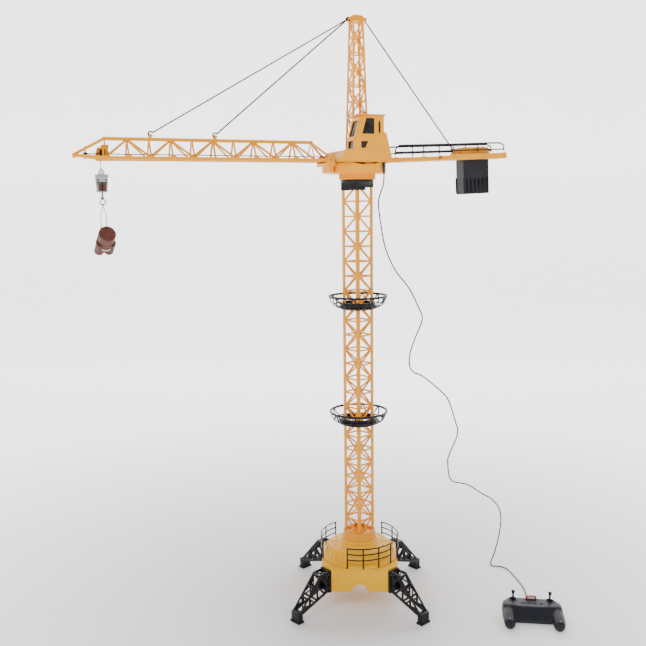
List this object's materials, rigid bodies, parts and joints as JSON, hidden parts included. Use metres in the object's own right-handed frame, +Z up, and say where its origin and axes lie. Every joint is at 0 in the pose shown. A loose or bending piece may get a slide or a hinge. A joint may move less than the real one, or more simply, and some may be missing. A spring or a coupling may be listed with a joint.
{
  "type": "toy tower crane",
  "caption": "Wire-controlled toy tower crane with slewing jib and counter-jib, travelling trolley, hoist, hook with a log load, and a corded two-stick handset.",
  "frame": {"origin": "centre of the footprint of everything but the cord, on the floor the feet stand on", "axes": "+Z up the tower; +Y away from the side the cab and the front railing face; +X to the side the handset lies on"},
  "size_m": [0.9712, 0.4276, 1.28],
  "materials": {
    "amber": "satin",
    "bright_amber": "satin",
    "black": "satin",
    "gloss_black": "gloss",
    "smoked": "gloss",
    "silver": "metallic silver",
    "steel": "bright wire",
    "motor_can": "plain",
    "natural_white": "moulded",
    "bark": "textured",
    "string": "braided",
    "cord": "smooth"
  },
  "bodies": {
    "base": {"base_housing": "bright_amber", "base_deck": "bright_amber", "tower_foot_collar": "amber", "leg_front_left": "black", "leg_front_right": "black", "leg_rear_left": "black", "leg_rear_right": "black", "railing_front": "black", "railing_right": "black", "railing_left": "black", "tower_section_lower": "amber", "tower_section_middle": "amber", "tower_section_upper": "amber", "platform_lower": "black", "platform_upper": "black", "tower_top_collar": "black", "slewing_gear": "natural_white", "control_cord": "cord", "handset_upper": "gloss_black", "handset_lower": "gloss_black"},
    "upper_works": {"turntable": "amber", "deck_housing": "amber", "cab_shell": "amber", "cab_window_insert": "smoked", "cab_roof": "amber", "slew_motor": "motor_can", "hoist_motor": "motor_can", "trolley_motor": "motor_can", "cord_relief": "gloss_black", "mast_head": "amber", "jib_root_bracket": "amber", "jib_pin": "steel", "jib_inner_section": "amber", "jib_outer_section": "amber", "jib_rope": "string", "pendant_outer": "string", "pendant_inner": "string", "pendant_rear": "string", "counter_jib_deck": "amber", "counter_railing_near": "black", "counter_railing_far": "black", "winch_box": "amber", "counterweight": "black"},
    "pinion": {"slewing_pinion": "natural_white"},
    "hoist_drum": {"hoist_drum": "natural_white"},
    "trolley_drum": {"trolley_drum": "natural_white"},
    "tip_pulley": {"jib_tip_pulley": "black"},
    "trolley": {"trolley_frame": "amber", "hoist_rope_fall": "string"},
    "sheave": {"trolley_sheave": "black"},
    "block": {"hook_block": "silver"},
    "hook": {"hook": "steel"},
    "load": {"load_bail": "steel", "log_bundle": "bark"},
    "stick_left": {"stick_left": "black"},
    "stick_right": {"stick_right": "black"},
    "button_1": {"button_1": "black"},
    "button_2": {"button_2": "black"},
    "button_3": {"button_3": "black"},
    "button_4": {"button_4": "black"}
  },
  "joints": [
    {"name": "slew", "type": "hinge", "parent": "base", "child": "upper_works", "pos_m": [0.0494, 0.0389, 0.9425], "axis": [0, 0, 1], "range_deg": [-340, 340]},
    {"name": "slewing_pinion_spin", "type": "hinge", "parent": "upper_works", "child": "pinion", "pos_m": [0.03385, 0.07302, 0.96], "axis": [0, 0, 1], "range_deg": [-1370, 1370]},
    {"name": "trolley_travel", "type": "slide", "parent": "upper_works", "child": "trolley", "axis": [0.91, 0.4147, 0], "range_m": [0, 0.42]},
    {"name": "trolley_drum_spin", "type": "hinge", "parent": "upper_works", "child": "trolley_drum", "pos_m": [0.00886, 0.03141, 0.9885], "axis": [0.4147, -0.91, 0], "range_deg": [0, 3900]},
    {"name": "jib_tip_pulley_spin", "type": "hinge", "parent": "upper_works", "child": "tip_pulley", "pos_m": [-0.462, -0.19416, 0.99], "axis": [0, 0, 1], "range_deg": [0, 5400]},
    {"name": "hoist", "type": "slide", "parent": "trolley", "child": "block", "axis": [0, 0, -1], "range_m": [0, 0.79], "deforming": ["hoist_rope_fall"]},
    {"name": "hoist_drum_spin", "type": "hinge", "parent": "upper_works", "child": "hoist_drum", "pos_m": [0.01715, 0.01321, 0.9885], "axis": [0.4147, -0.91, 0], "range_deg": [0, 7350]},
    {"name": "trolley_sheave_spin", "type": "hinge", "parent": "trolley", "child": "sheave", "pos_m": [-0.43288, -0.18089, 0.993], "axis": [0.4147, -0.91, 0], "range_deg": [0, 9900]},
    {"name": "hook_swivel", "type": "hinge", "parent": "block", "child": "hook", "pos_m": [-0.43706, -0.1828, 0.915], "axis": [0, 0, 1], "continuous": true},
    {"name": "load_swing", "type": "hinge", "parent": "hook", "child": "load", "pos_m": [-0.43706, -0.1828, 0.8973], "axis": [0.4147, -0.91, 0], "range_deg": [-60, 60]},
    {"name": "stick_left_tilt", "type": "hinge", "parent": "base", "child": "stick_left", "pos_m": [0.38331, -0.05144, 0.031], "axis": [0.9954, -0.0958, 0], "range_deg": [-25, 25], "stiffness_Nm_per_rad": 0.05},
    {"name": "stick_right_tilt", "type": "hinge", "parent": "base", "child": "stick_right", "pos_m": [0.46095, -0.05892, 0.031], "axis": [0.0958, 0.9954, 0], "range_deg": [-25, 25], "stiffness_Nm_per_rad": 0.05},
    {"name": "button_1_press", "type": "slide", "parent": "base", "child": "button_1", "axis": [0, 0, -1], "range_m": [0, 0.0015], "stiffness_N_per_m": 300},
    {"name": "button_2_press", "type": "slide", "parent": "base", "child": "button_2", "axis": [0, 0, -1], "range_m": [0, 0.0015], "stiffness_N_per_m": 300},
    {"name": "button_3_press", "type": "slide", "parent": "base", "child": "button_3", "axis": [0, 0, -1], "range_m": [0, 0.0015], "stiffness_N_per_m": 300},
    {"name": "button_4_press", "type": "slide", "parent": "base", "child": "button_4", "axis": [0, 0, -1], "range_m": [0, 0.0015], "stiffness_N_per_m": 300}
  ],
  "couplings": [
    {"joint": "slewing_pinion_spin", "follows": "slew", "ratio": 4},
    {"joint": "trolley_drum_spin", "follows": "trolley_travel", "rad_per_m": 161.3},
    {"joint": "jib_tip_pulley_spin", "follows": "trolley_travel", "rad_per_m": 222.2},
    {"joint": "hoist_drum_spin", "follows": "hoist", "rad_per_m": 161.3},
    {"joint": "trolley_sheave_spin", "follows": "hoist", "rad_per_m": 217.4}
  ]
}
